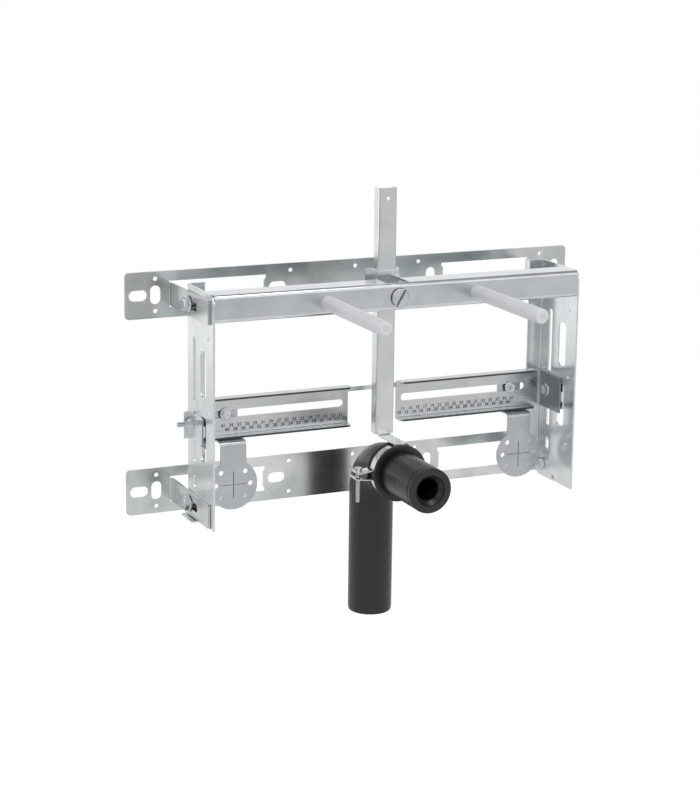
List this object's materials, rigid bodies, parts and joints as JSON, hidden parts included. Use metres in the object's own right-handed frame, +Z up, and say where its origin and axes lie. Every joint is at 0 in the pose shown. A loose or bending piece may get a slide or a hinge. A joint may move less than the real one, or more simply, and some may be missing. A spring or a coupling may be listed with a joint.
{
  "type": "bidet installation frame",
  "caption": "Adjustable zinc-plated steel frame that carries a wall-hung bidet, its taps and its drain bend.",
  "frame": {"origin": "middle of the upper wall rail's rear face, on the wall", "axes": "+X along the wall to the right as seen from the room, +Y into the wall, +Z up; the room is at -Y"},
  "size_m": [0.55, 0.276, 0.4905],
  "materials": {
    "rail_steel": "bright zinc-plated rolled sheet, 2.5 mm",
    "frame_steel": "bright zinc-plated bent sheet",
    "carrier_steel": "zinc-plated punched and bent sheet, 2 mm",
    "fastener_steel": "zinc-plated turned and cold-formed steel",
    "clamp_steel": "zinc-plated strip steel, bright",
    "sleeve_plastic": "milky grey polyethylene, slightly see-through",
    "drain_plastic": "black polyethylene pipe, satin",
    "seal_rubber": "black rubber, matt"
  },
  "bodies": {
    "wall_rails": {"upper_wall_rail": "rail_steel", "lower_wall_rail": "rail_steel"},
    "front_frame": {"crossbar": "frame_steel", "channel_guide": "frame_steel", "channel_clamp_screw": "fastener_steel", "left_upright": "frame_steel", "left_upper_lock_screw": "fastener_steel", "left_lower_lock_screw": "fastener_steel", "left_upper_lock_nut": "fastener_steel", "left_lower_lock_nut": "fastener_steel", "left_fixing_rod": "fastener_steel", "left_rod_sleeve": "sleeve_plastic", "left_rod_nut": "fastener_steel", "right_upright": "frame_steel", "right_upper_lock_screw": "fastener_steel", "right_lower_lock_screw": "fastener_steel", "right_upper_lock_nut": "fastener_steel", "right_lower_lock_nut": "fastener_steel", "right_fixing_rod": "fastener_steel", "right_rod_sleeve": "sleeve_plastic", "right_rod_nut": "fastener_steel"},
    "tap_carrier": {"tie_strip": "carrier_steel", "left_slotted_rail": "carrier_steel", "left_clamp_plate": "carrier_steel", "left_elbow_screw": "fastener_steel", "left_elbow_nut": "fastener_steel", "right_slotted_rail": "carrier_steel", "right_clamp_plate": "carrier_steel", "right_elbow_screw": "fastener_steel", "right_elbow_nut": "fastener_steel"},
    "left_tap": {"left_tap_plate": "carrier_steel", "left_plate_screw": "fastener_steel", "left_plate_nut": "fastener_steel"},
    "right_tap": {"right_tap_plate": "carrier_steel", "right_plate_screw": "fastener_steel", "right_plate_nut": "fastener_steel"},
    "drain": {"drain_channel": "frame_steel", "clamp_foot": "clamp_steel", "clamp_band": "clamp_steel", "clamp_lining": "seal_rubber", "clamp_closing_screw": "clamp_steel", "drain_bend": "drain_plastic", "inlet_seal": "seal_rubber"}
  },
  "joints": [
    {"name": "frame_depth", "type": "slide", "parent": "wall_rails", "child": "front_frame", "axis": [0, 1, 0], "range_m": [-0.018, 0.017]},
    {"name": "carrier_height", "type": "slide", "parent": "front_frame", "child": "tap_carrier", "axis": [0, 0, 1], "range_m": [-0.025, 0.008]},
    {"name": "left_tap_place", "type": "slide", "parent": "tap_carrier", "child": "left_tap", "axis": [1, 0, 0], "range_m": [-0.002, 0.08]},
    {"name": "right_tap_place", "type": "slide", "parent": "tap_carrier", "child": "right_tap", "axis": [1, 0, 0], "range_m": [-0.08, 0.002]},
    {"name": "drain_height", "type": "slide", "parent": "front_frame", "child": "drain", "axis": [0, 0, 1], "range_m": [-0.04, 0.01]}
  ]
}
